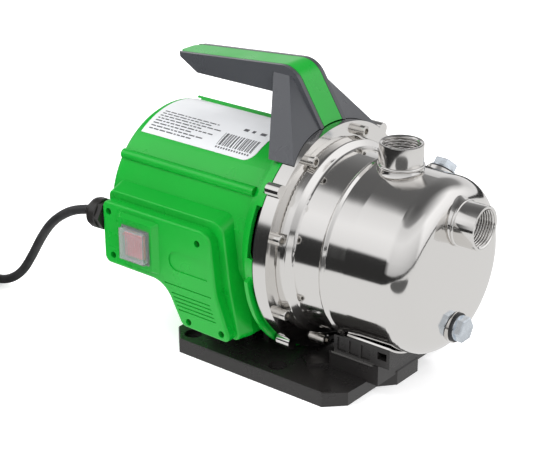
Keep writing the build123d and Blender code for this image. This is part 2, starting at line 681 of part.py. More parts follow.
def box_outline(y, corners, inset=0.0):
    """Rounded outline of the switch box on a plane facing -Y."""
    with BuildSketch(side(y)) as section:
        with BuildLine():
            FilletPolyline(*corners, radius=BOX_RADII, close=True)
        make_face()
        if inset:
            offset(amount=-inset, mode=Mode.REPLACE)
    return section.sketch


with BuildPart() as motor_housing:
    extrude(housing_section(), amount=HOUSING_FRONT_X - HOUSING_REAR_X)
    fillet(motor_housing.faces().sort_by(Axis.X)[0].edges().sort_by(Axis.Z)[-1], radius=1.5)
    loft([box_outline(BOX_FOOT_Y, FOOT_CORNERS), box_outline(BOX_PART_Y, LIP_CORNERS)], ruled=True)
    extrude(box_outline(BOX_BACK_Y, FOOT_CORNERS), amount=BOX_BACK_Y - BOX_FOOT_Y)
    fillet(motor_housing.faces().sort_by(Axis.Y)[0].edges(), radius=1.6)
    extrude(
        box_outline(BOX_FLOOR_Y, COVER_CORNERS, BOX_WALL), amount=BOX_FLOOR_Y - BOX_PART_Y,
        mode=Mode.SUBTRACT,
    )
    discs(side(BOX_FLOOR_Y + 1), SCREW_PLACES, BOX_FLOOR_Y - BOX_PART_Y + 1, BOSS_R)
    disc(
        across(HOUSING_REAR_X - 1), HOUSING_FRONT_X - HOUSING_REAR_X + 2, HOUSING_BORE_R,
        mode=Mode.SUBTRACT,
    )
    turned(
        ALONG,
        [(HOUSING_FRONT_X, 0), (HOUSING_FRONT_X, 82.3), (-31.5, 84.3), (-25.0, 94.8), (-25.0, 0)],
        SHAFT, Mode.SUBTRACT,
    )
    block(side(BOX_FLOOR_Y + 7), (-75.5, 64.5), 42, 26, 8, Mode.SUBTRACT)
    block(across(HOUSING_REAR_X - 1), (-70.5, 24.5), 8, 3.2, 13, Mode.SUBTRACT)
    block(across(HOUSING_REAR_X - 1), polar(RIDGE_R, 58), 26, 7.4, 6, Mode.SUBTRACT)
    discs(side(BOX_FLOOR_Y + 4), SCREW_PLACES, 16, COVER_SCREW_R + 0.2, Mode.SUBTRACT)
    discs(Plane.XY, BASE_SCREW_PLACES, 60, BASE_SCREW_R + BOLT_CLEARANCE, Mode.SUBTRACT)
    disc(gland_plane(HOUSING_REAR_X), GLAND_X - HOUSING_REAR_X, GLAND_R + 0.3, mode=Mode.SUBTRACT)
    disc(gland_plane(GLAND_X - 4), 14, GLAND_HOLE_R, mode=Mode.SUBTRACT)
finish(motor_housing, "motor_housing")

# ---- collar between housing and flange ----
COLLAR_FRONT_X = -14.3
COLLAR_LIP_R = 102.5
LIP_INNER_R = 96.5

with BuildPart() as motor_collar:
    turned(
        ALONG,
        [
            (HOUSING_FRONT_X, 82.0), (-31.5, 84.0), (-25.0, 94.5), (COLLAR_FRONT_X, 98.3),
            (COLLAR_FRONT_X, 94.5), (-23.0, 91.0), (-30.0, 80.0), (HOUSING_FRONT_X, 78.5),
        ],
        SHAFT,
    )
    with BuildSketch(across(COLLAR_FRONT_X - 7)):
        with PolarLocations(98, 1, start_angle=163):
            Rectangle(16, 44)
        with PolarLocations(98, 1, start_angle=207):
            Rectangle(16, 60)
    extrude(amount=8, mode=Mode.SUBTRACT)
    with BuildSketch(across(COLLAR_FRONT_X - 5.5)):
        with BuildLine():
            ThreePointArc(polar(COLLAR_LIP_R, 187), polar(COLLAR_LIP_R, 222), polar(COLLAR_LIP_R, 256))
            Line(polar(COLLAR_LIP_R, 256), polar(LIP_INNER_R, 257))
            ThreePointArc(polar(LIP_INNER_R, 257), polar(LIP_INNER_R, 221), polar(LIP_INNER_R, 186))
            Line(polar(LIP_INNER_R, 186), polar(COLLAR_LIP_R, 187))
        make_face()
    extrude(amount=3.5)
    with BuildSketch(Plane.XY):
        with Locations((-30, 0)):
            Rectangle(40, 180)
    extrude(amount=BASE_T + 0.3, mode=Mode.SUBTRACT)
    discs(across(RIM_REAR_X - 6), ear_points(), 6, EAR_NUT_R + 0.5, Mode.SUBTRACT)
finish(motor_collar, "motor_collar")

# ---- rear fan cover ----
COVER_REAR_X = -192.0

with BuildPart() as fan_cover:
    disc(across(COVER_REAR_X), HOUSING_REAR_X - COVER_REAR_X, 78.5)
    fillet(fan_cover.faces().sort_by(Axis.X)[0].edges(), radius=5.0)
    disc(across(COVER_REAR_X + 2.6), 10, 74.0, mode=Mode.SUBTRACT)
    with BuildSketch(across(COVER_REAR_X)):
        for radius in (22, 34, 46, 58):
            with PolarLocations(radius, 8):
                SlotOverall(radius * 0.62, 5.0, rotation=90)
    extrude(amount=4, mode=Mode.SUBTRACT)
    disc(gland_plane(COVER_REAR_X - 1), 14, GLAND_R + 0.3, mode=Mode.SUBTRACT)
finish(fan_cover, "fan_cover")

# ---- switch box ----
SCREW_RECESS_R = 3.1
SCREW_SEAT_Y = -90.0
SCREW_HEAD_T = 2.0
SWITCH_X = -138.5
SWITCH_Z = 100.0
FRAME_X = -139.5
FRAME_FACE_Y = BOX_FACE_Y - 5.0
EMBOSS_R = 8.8
EMBOSS_Z = 94.2
EMBOSS_DEPTH = 0.9
# left end, right end and height of each groove
GROOVES = [
    (-111, -59, 71.5), (-103, -60, 64.0), (-101, -58.5, 60.5), (-99.5, -57, 57.0),
    (-97.5, -55.5, 53.5), (-95.5, -54, 50.0),
]


def frame_section(y, width, height):
    """Section of the raised frame round the switch."""
    with BuildSketch(side(y)) as section:
        with Locations((FRAME_X, SWITCH_Z)):
            RectangleRounded(width, height, 2.0)
    return section.sketch


with BuildPart() as box_cover:
    extrude(box_outline(BOX_PART_Y, COVER_CORNERS), amount=BOX_PART_Y - BOX_FACE_Y)
    fillet(box_cover.faces().sort_by(Axis.Y)[0].edges(), radius=2.6)
    with BuildSketch(side(BOX_FACE_Y + EMBOSS_DEPTH)):
        with Locations((-80, EMBOSS_Z)):
            Rectangle(34, 2 * EMBOSS_R)
        with Locations((-97, EMBOSS_Z)):
            Circle(EMBOSS_R)
    extrude(amount=EMBOSS_DEPTH + 1, mode=Mode.SUBTRACT)
    loft(
        [
            frame_section(BOX_FACE_Y, 46, 47),
            frame_section(FRAME_FACE_Y, 38, 42),
        ],
        ruled=True,
    )
    extrude(
        box_outline(BOX_PART_Y, COVER_CORNERS, BOX_WALL), amount=BOX_PART_Y - BOX_FACE_Y - BOX_WALL,
        mode=Mode.SUBTRACT,
    )
    discs(side(BOX_PART_Y), SCREW_PLACES, 9, BOSS_R)
    block(side(BOX_PART_Y), (SWITCH_X, SWITCH_Z), 25.6, 24.6, 40, Mode.SUBTRACT)
    discs(side(SCREW_SEAT_Y), SCREW_PLACES, 12, SCREW_RECESS_R, Mode.SUBTRACT)
    discs(side(BOX_PART_Y), SCREW_PLACES, 8, COVER_SCREW_R + 0.2, Mode.SUBTRACT)
    for left, right, z in GROOVES:
        block(side(BOX_FACE_Y + 0.8), ((left + right) / 2, z), right - left, 1.2, 2, Mode.SUBTRACT)
    disc(gland_plane(GLAND_X - 4), 14, GLAND_HOLE_R, mode=Mode.SUBTRACT)
finish(box_cover, "box_cover")

with BuildPart() as cover_screws:
    discs(side(SCREW_SEAT_Y), SCREW_PLACES, SCREW_HEAD_T, SCREW_RECESS_R - 0.3)
    discs(side(BOX_FLOOR_Y + 3), SCREW_PLACES, BOX_FLOOR_Y + 3 - SCREW_SEAT_Y, COVER_SCREW_R)
    with BuildSketch(side(SCREW_SEAT_Y - SCREW_HEAD_T)):
        with Locations(*SCREW_PLACES):
            Rectangle(3.4, 0.9)
            Rectangle(0.9, 3.4)
    extrude(amount=-1.2, mode=Mode.SUBTRACT)
finish(cover_screws, "cover_screws")

# ---- switch ----
ROCKER_PIVOT_Y = -101.5
ROCKER_TILT = 8.0
ROCKER_HALF = 10.8
PIN_R = 1.0
SWITCH_WIDTH = 25.0

with BuildPart() as switch_body:
    block(side(-84), (SWITCH_X, SWITCH_Z), SWITCH_WIDTH, 24, 14)
    block(side(-98), (SWITCH_X, SWITCH_Z), SWITCH_WIDTH, 24, 5.0)
    block(side(-97.5), (SWITCH_X, SWITCH_Z), 21.0, 24, 6, Mode.SUBTRACT)
    with BuildSketch(Plane(origin=(SWITCH_X - 13, 0, 0), x_dir=(0, 1, 0), z_dir=(1, 0, 0))):
        with Locations((ROCKER_PIVOT_Y, SWITCH_Z)):
            Circle(PIN_R + RUNNING_FIT)
    extrude(amount=26, mode=Mode.SUBTRACT)
    for z in (-6, 0, 6):
        block(side(-84), (SWITCH_X, SWITCH_Z + z), 6.3, 0.8, -5)
finish(switch_body, "switch_body")

ROCKER_SECTION = Plane(
    origin=(SWITCH_X - 10, ROCKER_PIVOT_Y, SWITCH_Z), x_dir=(0, 1, 0), z_dir=(1, 0, 0)
).rotated((ROCKER_TILT, 0, 0))

with BuildPart() as switch_rocker:
    with BuildSketch(ROCKER_SECTION):
        with BuildLine():
            Polyline(
                (-3.0, 0), (-4.4, ROCKER_HALF), (0.4, ROCKER_HALF - 0.6), (2.2, 0),
                (0.4, 0.6 - ROCKER_HALF), (-4.4, -ROCKER_HALF), close=True,
            )
        make_face()
    extrude(amount=20)
    with BuildSketch(Plane(origin=(SWITCH_X - 12.2, 0, 0), x_dir=(0, 1, 0), z_dir=(1, 0, 0))):
        with Locations((ROCKER_PIVOT_Y, SWITCH_Z)):
            Circle(PIN_R)
    extrude(amount=24.4)
finish(switch_rocker, "switch_rocker")

with BuildPart() as switch_boot:
    block(side(FRAME_FACE_Y), (SWITCH_X, SWITCH_Z), 31, 31, 1.2)
    block(side(FRAME_FACE_Y), (SWITCH_X, SWITCH_Z), 28.5, 28.5, 7.0)
    fillet(switch_boot.faces().sort_by(Axis.Y)[0].edges(), radius=1.6)
    block(side(FRAME_FACE_Y), (SWITCH_X, SWITCH_Z), 26.3, 26.3, 5.9, Mode.SUBTRACT)
finish(switch_boot, "switch_boot")

with BuildPart() as run_capacitor:
    with BuildSketch(Plane(origin=(-92.5, -82.8, 64.5), z_dir=(1, 0, 0))):
        Circle(11.0)
    extrude(amount=34)
    fillet(run_capacitor.faces().sort_by(Axis.X)[-1].edges(), radius=1.5)
finish(run_capacitor, "run_capacitor")

with BuildPart() as terminal_block:
    block(side(BOX_FLOOR_Y - 0.2), (-97, 102), 30, 14, 11)
    discs(side(BOX_FLOOR_Y - 6), [(-107, 102), (-97, 102), (-87, 102)], 6, 2.4, Mode.SUBTRACT)
finish(terminal_block, "terminal_block")

# ---- cable gland ----
GLAND_BORE_R = CABLE_D / 2 + 0.2


with BuildPart() as gland_body:
    with BuildSketch(gland_plane(GLAND_X - 5)):
        RegularPolygon(11.6, 6, major_radius=False, rotation=30)
    extrude(amount=5)
    disc(gland_plane(GLAND_X), 6, 7.0)
    disc(gland_plane(GLAND_X - 6), 20, GLAND_BORE_R, mode=Mode.SUBTRACT)
finish(gland_body, "gland_body")

with BuildPart() as gland_nut:
    turned(
        Plane(origin=(0, CABLE_Y, CABLE_Z), x_dir=(1, 0, 0), z_dir=(0, -1, 0)),
        [
            (GLAND_X - 5, GLAND_BORE_R), (GLAND_X - 5, GLAND_R - 0.7), (GLAND_X - 6, GLAND_R),
            (GLAND_X - 12, GLAND_R), (GLAND_X - 15, GLAND_R - 1), (CABLE_EXIT_X + 3, 7.6),
            (CABLE_EXIT_X, 6.6), (CABLE_EXIT_X, 0), (CABLE_EXIT_X + 2, 0),
            (CABLE_EXIT_X + 2, GLAND_BORE_R),
        ],
        Axis((0, CABLE_Y, CABLE_Z), (1, 0, 0)),
    )
finish(gland_nut, "gland_nut")

# ---- mains cable ----
COIL_X = -380.0
COIL_Y = -138.0
COIL_MEAN_R = 44.5
COIL_OUTER_TURN_R = COIL_MEAN_R + CABLE_D / 2
COIL_HEIGHT = 24.4
CABLE_ROUTE = [
    (CABLE_EXIT_X, CABLE_Y, CABLE_Z), (-222, CABLE_Y, 107.5), (-240, CABLE_Y, 98.5),
    (-257.5, CABLE_Y, 85), (-272.5, CABLE_Y, 66), (-286.5, CABLE_Y, 43.5),
    (-302, CABLE_Y, 22.5), (-322, CABLE_Y, 9), (-342, CABLE_Y, 4.7),
    (COIL_X + 20, COIL_Y + COIL_OUTER_TURN_R, 4.3),
]


def bend_radii(route):
    """Largest smooth bend at each inner point of a route: 0.45 of its shorter run."""
    radii = []
    for before, here, after in zip(route, route[1:], route[2:]):
        first = Vector(*here) - Vector(*before)
        second = Vector(*after) - Vector(*here)
        turn = math.radians(first.get_angle(second))
        radii.append(0.45 * min(first.length, second.length) / math.tan(turn / 2))
    return radii


CABLE_RADII = bend_radii(CABLE_ROUTE)
print("cable bend radii", [round(radius, 1) for radius in CABLE_RADII])

with BuildPart() as mains_cable:
    with BuildLine() as cable_path:
        FilletPolyline(*CABLE_ROUTE, radius=CABLE_RADII)
    with BuildSketch(Plane(origin=CABLE_ROUTE[0], z_dir=cable_path.line @ 0 - cable_path.line @ 0.001)):
        Circle(CABLE_D / 2)
    sweep()
finish(mains_cable, "mains_cable")
cable_length = sum(edge.length for edge in cable_path.edges())
cable_section = math.pi * CABLE_D ** 2 / 4
print("cable length", round(cable_length, 1))
print("cable volume over section times length", mains_cable.part.volume / (cable_section * cable_length))

with BuildPart() as cable_coil:
    with BuildSketch(Plane(origin=(COIL_X, COIL_Y, 0), x_dir=(1, 0, 0), z_dir=(0, -1, 0))):
        with Locations((COIL_MEAN_R, COIL_HEIGHT / 2)):
            RectangleRounded(2 * CABLE_D, COIL_HEIGHT, CABLE_D / 2)
    revolve(axis=Axis((COIL_X, COIL_Y, 0), (0, 0, 1)))
finish(cable_coil, "cable_coil")

# ---- mains plug, lying beside the coil ----
PLUG_R = 18.0
PLUG_BOOT_X = COIL_X + 10.0
PLUG_BOOT_LENGTH = 32.0
PLUG_BODY_LENGTH = 34.0
PLUG_Y = COIL_Y - 54.4
PLUG_PIN_R = 2.4
PLUG_PIN_LENGTH = 19.0
PLUG_PIN_SPREAD = 9.5


def plug_plane(distance):
    """Plane square to the plug, at a distance from the start of its boot."""
    return Plane(origin=(PLUG_BOOT_X + distance, PLUG_Y, PLUG_R), z_dir=(1, 0, 0))


with BuildPart() as mains_plug:
    turned(
        Plane(origin=(PLUG_BOOT_X, PLUG_Y, PLUG_R), x_dir=(1, 0, 0), z_dir=(0, -1, 0)),
        [
            (0, 0), (0, 5.4), (PLUG_BOOT_LENGTH - 10, 7.6), (PLUG_BOOT_LENGTH, PLUG_R - 2),
            (PLUG_BOOT_LENGTH + 4, PLUG_R), (PLUG_BOOT_LENGTH + PLUG_BODY_LENGTH, PLUG_R),
            (PLUG_BOOT_LENGTH + PLUG_BODY_LENGTH, 0),
        ],
        Axis((PLUG_BOOT_X, PLUG_Y, PLUG_R), (1, 0, 0)),
    )
    discs(
        plug_plane(PLUG_BOOT_LENGTH + PLUG_BODY_LENGTH),
        [(PLUG_PIN_SPREAD, 0), (-PLUG_PIN_SPREAD, 0)], PLUG_PIN_LENGTH, PLUG_PIN_R,
    )
finish(mains_plug, "mains_plug")

# ---- handle ----
GRIP_HALF = 17.0
INLAY_HALF = 12.3
INLAY_T = 2.6
GROOVE = 0.6
GRIP_TOP = [(-166.0, 246.4), (-36.4, 257.4), (-6.5, 209.8)]
GRIP_BEND_R = 22.0
GRIP_UNDER = [(-24, 205), (-50, 228), (-58, 232.0), (-141, 232.0)]
LEG_FOOT = [(5, 13), (-1.8, 60), (-27.7, 60), (-42, 30)]
LEG_TOP = [(-34.5, 12.5), (-40.2, 17.0), (-56.6, 17.0), (-62, 13)]
LEG_FOOT_Z = 191.5
LEG_TOP_Z = 249.0


def leg_section(corners, height):
    """Section of the handle's leg, the same on both sides of the middle."""
    with BuildSketch(Plane.XY.offset(height)) as section:
        with BuildLine():
            Polyline(*corners, *[(x, -y) for x, y in reversed(corners)], close=True)
        make_face()
    return section.sketch


def top_band(depth, half_width, mode):
    """Add or cut the strip along the top of the grip and down its front, to a given depth."""
    (rear_x, rear_z), (bend_x, bend_z), (foot_x, foot_z) = GRIP_TOP
    below = [
        (rear_x, rear_z - depth), (bend_x - 0.6 * depth, bend_z - depth), (foot_x - 1.17 * depth, foot_z),
    ]
    with BuildSketch(side(half_width)) as section:
        with BuildLine():
            FilletPolyline(*GRIP_TOP, radius=GRIP_BEND_R)
            FilletPolyline(*below, radius=GRIP_BEND_R - depth)
            Line(GRIP_TOP[0], below[0])
            Line(GRIP_TOP[-1], below[-1])
        make_face()
    extrude(section.sketch, amount=2 * half_width, mode=mode)


with BuildPart() as handle_body:
    with BuildSketch(side(GRIP_HALF)):
        with BuildLine():
            FilletPolyline(*GRIP_TOP, radius=GRIP_BEND_R)
            Polyline(GRIP_TOP[-1], *GRIP_UNDER, GRIP_TOP[0])
        make_face()
    extrude(amount=2 * GRIP_HALF)
    loft([leg_section(LEG_FOOT, LEG_FOOT_Z), leg_section(LEG_TOP, LEG_TOP_Z)], ruled=True)
    disc(across(COLLAR_FRONT_X + 0.2), 30, FLANGE_R + 0.4, mode=Mode.SUBTRACT)
    disc(across(-60), 60 + COLLAR_FRONT_X + 0.2, HOUSING_R + 5.4, mode=Mode.SUBTRACT)
    turned(
        ALONG,
        [
            (-34, 0), (-34, 83.5), (-25.5, 95.0), (COLLAR_FRONT_X + 0.2, 98.8),
            (COLLAR_FRONT_X + 0.2, 0),
        ],
        SHAFT, Mode.SUBTRACT,
    )
    discs(across(RIM_REAR_X - 6), ear_points(), 30, EAR_R + 0.5, Mode.SUBTRACT)
    with BuildSketch(Plane.XY.offset(225)):
        for sign in (-1, 1):
            with BuildLine():
                Polyline(
                    (-171, sign * 7), (-160, sign * 17.2), (-160, sign * 20), (-171, sign * 20),
                    close=True,
                )
            make_face()
    extrude(amount=30, mode=Mode.SUBTRACT)
    top_band(INLAY_T + 0.2, INLAY_HALF + GROOVE, Mode.SUBTRACT)
finish(handle_body, "handle_body")

with BuildPart() as handle_inlay:
    top_band(INLAY_T, INLAY_HALF, Mode.ADD)
    with BuildSketch(Plane.XY.offset(205)):
        for sign in (-1, 1):
            with BuildLine():
                Polyline(
                    (-171, sign * 3.5), (-160, sign * 12.6), (-160, sign * 20), (-171, sign * 20),
                    close=True,
                )
            make_face()
    extrude(amount=60, mode=Mode.SUBTRACT)
    disc(across(COLLAR_FRONT_X), 30, FLANGE_R + 0.8, mode=Mode.SUBTRACT)
finish(handle_inlay, "handle_inlay")

# ---- rating label ----
LABEL_T = 0.4
LABEL_GAP = 0.1

LABEL_REAR_X = -181.0
LABEL_LENGTH = 124.0
LABEL_CORNER_R = 10.0

with BuildPart() as rating_label:
    inner = HOUSING_R + LABEL_GAP
    outer = inner + LABEL_T
    with BuildSketch(across(LABEL_REAR_X)):
        with BuildLine():
            ThreePointArc(polar(inner, 69), polar(inner, 97), polar(inner, 125.5))
            Line(polar(inner, 125.5), polar(outer, 125.5))
            ThreePointArc(polar(outer, 125.5), polar(outer, 97), polar(outer, 69))
            Line(polar(outer, 69), polar(inner, 69))
        make_face()
    extrude(amount=LABEL_LENGTH)
    corner_x = LABEL_REAR_X + LABEL_LENGTH - LABEL_CORNER_R
    corner_y = polar(inner, 125.5)[0] + LABEL_CORNER_R
    with BuildSketch(Plane.XY.offset(AXIS_Z + 40)):
        with Locations((corner_x, corner_y)):
            Rectangle(20, 20, align=(Align.MIN, Align.MAX))
            Circle(LABEL_CORNER_R, mode=Mode.SUBTRACT)
    extrude(amount=50, mode=Mode.SUBTRACT)
finish(rating_label, "rating_label")

# ---- screws from below that hold the motor to the base ----
with BuildPart() as base_screws:
    discs(Plane.XY.offset(SCREW_SEAT_Z - 3.2), BASE_SCREW_PLACES, 3.2, BASE_SCREW_HEAD_R)
    discs(Plane.XY.offset(SCREW_SEAT_Z), BASE_SCREW_PLACES, 31, BASE_SCREW_R)
finish(base_screws, "base_screws")
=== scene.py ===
"""Looks of the shallow well jet pump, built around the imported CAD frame. Lengths are in metres."""
import json
import math

import bmesh
import bpy
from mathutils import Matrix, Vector


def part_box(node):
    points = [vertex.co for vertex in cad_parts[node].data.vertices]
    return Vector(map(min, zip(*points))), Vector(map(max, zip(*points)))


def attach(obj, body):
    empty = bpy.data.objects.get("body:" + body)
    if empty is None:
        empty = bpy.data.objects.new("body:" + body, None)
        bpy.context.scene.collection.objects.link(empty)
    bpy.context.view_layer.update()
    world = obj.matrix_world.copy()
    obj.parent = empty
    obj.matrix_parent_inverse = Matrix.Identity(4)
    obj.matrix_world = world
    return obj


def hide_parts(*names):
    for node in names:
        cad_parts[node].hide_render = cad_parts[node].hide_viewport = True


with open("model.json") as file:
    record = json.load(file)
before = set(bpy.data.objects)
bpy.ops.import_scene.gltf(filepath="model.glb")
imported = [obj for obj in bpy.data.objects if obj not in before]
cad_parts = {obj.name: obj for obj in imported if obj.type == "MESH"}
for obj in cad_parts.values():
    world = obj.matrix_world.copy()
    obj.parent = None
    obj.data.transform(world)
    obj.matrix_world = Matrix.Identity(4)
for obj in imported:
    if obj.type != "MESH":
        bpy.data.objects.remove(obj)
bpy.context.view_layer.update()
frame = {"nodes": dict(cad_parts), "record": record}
NODES = frame["nodes"]
MM = 0.001

# ---------------------------------------------------------------- places taken from the frame
AXIS_Z = (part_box("shaft")[0].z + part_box("shaft")[1].z) / 2
DISCHARGE_LOW, DISCHARGE_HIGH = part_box("discharge_socket")
SUCTION_LOW, SUCTION_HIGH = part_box("suction_socket")
COIL_LOW, COIL_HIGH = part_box("cable_coil")
PLUG_LOW, PLUG_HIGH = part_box("mains_plug")
PLUG_ENTRY = Vector((PLUG_LOW.x, (PLUG_LOW.y + PLUG_HIGH.y) / 2, (PLUG_LOW.z + PLUG_HIGH.z) / 2))

# ---------------------------------------------------------------- camera
CAMERA_PLACE = Vector((0.7022, -0.9662, 0.6262))
CAMERA_TARGET = Vector((-0.0687, 0.0, 0.1028))
LENS = 100.3
SENSOR = 36.0


def make_camera():
    """Long lens at the height and angle of a product photograph."""
    data = bpy.data.cameras.new("camera")
    data.lens = LENS
    data.sensor_width = SENSOR
    data.sensor_fit = "HORIZONTAL"
    camera = bpy.data.objects.new("camera", data)
    camera.location = CAMERA_PLACE
    camera.rotation_euler = (CAMERA_TARGET - CAMERA_PLACE).to_track_quat("-Z", "Y").to_euler()
    bpy.context.scene.collection.objects.link(camera)
    bpy.context.scene.camera = camera


# ---------------------------------------------------------------- materials
GRAIN_DEPTH = 0.04 * MM
POLISH_DEPTH = 0.02 * MM
RUBBER_DEPTH = 0.05 * MM
RIB_DEPTH = 0.6 * MM
COAT_ROUGHNESS = 0.12


class Shader:
    """A node material with one Principled shader, and short calls for what feeds it."""

    def __init__(self, name, colour, roughness, metallic=0.0):
        self.material = bpy.data.materials.new(name)
        self.material.use_nodes = True
        self.tree = self.material.node_tree
        self.main = self.tree.nodes["Principled BSDF"]
        self.set("Base Color", (*colour, 1.0))
        self.set("Roughness", roughness)
        self.set("Metallic", metallic)
        self.place = self.tree.nodes.new("ShaderNodeTexCoord")

    def set(self, socket, value):
        self.main.inputs[socket].default_value = value

    def link(self, output, socket):
        self.tree.links.new(output, self.main.inputs[socket])

    def scaled_place(self, scale):
        """Object coordinates multiplied by a scale along each axis."""
        mapping = self.tree.nodes.new("ShaderNodeMapping")
        mapping.inputs["Scale"].default_value = scale
        self.tree.links.new(self.place.outputs["Object"], mapping.inputs["Vector"])
        return mapping.outputs["Vector"]

    def noise(self, scale, detail=3.0, stretch=(1.0, 1.0, 1.0)):
        """Noise value over the object, stretched along chosen axes."""
        node = self.tree.nodes.new("ShaderNodeTexNoise")
        node.inputs["Scale"].default_value = scale
        node.inputs["Detail"].default_value = detail
        self.tree.links.new(self.scaled_place(stretch), node.inputs["Vector"])
        return node.outputs["Fac"]

    def spread(self, value, low, high, start=0.3, end=0.7):
        """Map a 0 to 1 value onto a range."""
        node = self.tree.nodes.new("ShaderNodeMapRange")
        node.inputs["From Min"].default_value = start
        node.inputs["From Max"].default_value = end
        node.inputs["To Min"].default_value = low
        node.inputs["To Max"].default_value = high
        self.tree.links.new(value, node.inputs["Value"])
        return node.outputs["Result"]

    def tint(self, value, colours):
        """Colour ramp over a 0 to 1 value."""
        node = self.tree.nodes.new("ShaderNodeValToRGB")
        for index, (position, colour) in enumerate(colours):
            if index > 1:
                node.color_ramp.elements.new(position)
            node.color_ramp.elements[index].position = position
            node.color_ramp.elements[index].color = (*colour, 1.0)
        self.tree.links.new(value, node.inputs["Fac"])
        self.link(node.outputs["Color"], "Base Color")

    def bump(self, value, strength, distance):
        """Small relief from a value."""
        node = self.tree.nodes.new("ShaderNodeBump")
        node.inputs["Strength"].default_value = strength
        node.inputs["Distance"].default_value = distance
        self.tree.links.new(value, node.inputs["Height"])
        self.link(node.outputs["Normal"], "Normal")


def shade(colour, factor):
    """A colour made lighter or darker."""
    return tuple(min(1.0, channel * factor) for channel in colour)


def moulded_plastic(name, colour, roughness, grain=0.25, coat=0.0):
    """Injection moulded plastic: faint mottling, uneven gloss and a fine spark-eroded grain."""
    made = Shader(name, colour, roughness)
    made.tint(made.noise(9.0, 4.0), [(0.3, shade(colour, 0.93)), (0.7, shade(colour, 1.06))])
    made.link(made.spread(made.noise(35.0, 5.0), roughness - 0.05, roughness + 0.07), "Roughness")
    made.bump(made.noise(1400.0, 2.0), grain, GRAIN_DEPTH)
    made.set("Coat Weight", coat)
    made.set("Coat Roughness", COAT_ROUGHNESS)
    return made.material


def polished_steel(name, colour, roughness, stretch):
    """Polished stainless steel with faint polishing lines along one axis and soft clouding."""
    made = Shader(name, colour, roughness, 1.0)
    made.link(made.spread(made.noise(14.0, 5.0), roughness * 0.75, roughness * 1.5), "Roughness")
    made.bump(made.noise(260.0, 4.0, stretch), 0.1, POLISH_DEPTH)
    return made.material


def worn_metal(name, colour, roughness):
    """Plated or turned metal with uneven tone."""
    made = Shader(name, colour, roughness, 1.0)
    made.tint(made.noise(120.0, 5.0), [(0.3, shade(colour, 0.82)), (0.7, shade(colour, 1.1))])
    made.link(made.spread(made.noise(300.0, 4.0), roughness * 0.7, roughness * 1.5), "Roughness")
    made.bump(made.noise(900.0, 3.0), 0.15, GRAIN_DEPTH)
    return made.material


def rubber(name, colour, roughness):
    """Smooth cable rubber with a dusty bloom."""
    made = Shader(name, colour, roughness)
    made.tint(made.noise(60.0, 5.0), [(0.35, colour), (0.75, shade(colour, 1.9))])
    made.link(made.spread(made.noise(90.0, 4.0), roughness - 0.08, roughness + 0.1), "Roughness")
    made.bump(made.noise(1100.0, 2.0), 0.3, RUBBER_DEPTH)
    return made.material


GREEN = (0.0, 0.385, 0.026)
STEEL_TONE = (0.80, 0.785, 0.765)
MATERIALS = {
    "polished_steel": polished_steel("polished_steel", STEEL_TONE, 0.09, (1.0, 0.05, 0.05)),
    "steel_hardware": worn_metal("steel_hardware", (0.74, 0.72, 0.69), 0.16),
    "zinc_plated": worn_metal("zinc_plated", (0.68, 0.73, 0.78), 0.2),
    "green_plastic": moulded_plastic("green_plastic", GREEN, 0.3, 0.12, 0.25),
    "black_plastic": moulded_plastic("black_plastic", (0.020, 0.0185, 0.018), 0.27, 0.3),
    "handle_plastic": moulded_plastic("handle_plastic", (0.060, 0.063, 0.071), 0.3, 0.3, 0.3),
    "red_plastic": moulded_plastic("red_plastic", (0.95, 0.07, 0.05), 0.28, 0.05, 0.2),
    "label_film": moulded_plastic("label_film", (0.80, 0.81, 0.83), 0.32, 0.05),
    "black_rubber": rubber("black_rubber", (0.018, 0.018, 0.019), 0.5),
    "motor_iron": worn_metal("motor_iron", (0.3, 0.3, 0.31), 0.45),
    "copper_winding": worn_metal("copper_winding", (0.72, 0.3, 0.14), 0.35),
    "bearing_steel": worn_metal("bearing_steel", (0.68, 0.68, 0.68), 0.22),
    # bracket_alloy is near black: the bracket's own dark paint, and also painted shade for the dark gaps behind
    # the casing rim
    "bracket_alloy": moulded_plastic("bracket_alloy", (0.03, 0.03, 0.032), 0.5, 0.6),
    "inner_plastic": moulded_plastic("inner_plastic", (0.04, 0.04, 0.04), 0.45, 0.4),
    "brass": worn_metal("brass", (0.80, 0.58, 0.25), 0.25),
    "seal_ceramic": moulded_plastic("seal_ceramic", (0.8, 0.78, 0.72), 0.3, 0.1),
}


def clear_plastic():
    """Soft clear cover with fine ribs that shows the rocker, a little milky."""
    made = Shader("clear_boot", (0.93, 0.95, 0.98), 0.12)
    made.set("Transmission Weight", 0.82)
    made.set("IOR", 1.38)
    made.link(made.spread(made.noise(180.0, 3.0), 0.06, 0.2), "Roughness")
    ribs = made.tree.nodes.new("ShaderNodeTexWave")
    ribs.inputs["Scale"].default_value = 120.0
    ribs.inputs["Distortion"].default_value = 0.4
    made.tree.links.new(made.place.outputs["Object"], ribs.inputs["Vector"])
    made.bump(ribs.outputs["Fac"], 0.3, RIB_DEPTH)
    return made.material


MATERIALS["clear_boot"] = clear_plastic()


# ---------------------------------------------------------------- making pieces
def new_piece(name, mesh, body, slot, material=None, smooth_angle=35.0):
    """Put a mesh in the scene, on a body, with a material and smooth shading below an angle."""
    piece = bpy.data.objects.new(name, mesh)
    bpy.context.scene.collection.objects.link(piece)
    mesh.materials.append(material or MATERIALS[slot])
    mesh.shade_smooth()
    mesh.set_sharp_from_angle(angle=math.radians(smooth_angle))
    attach(piece, body)
    return piece


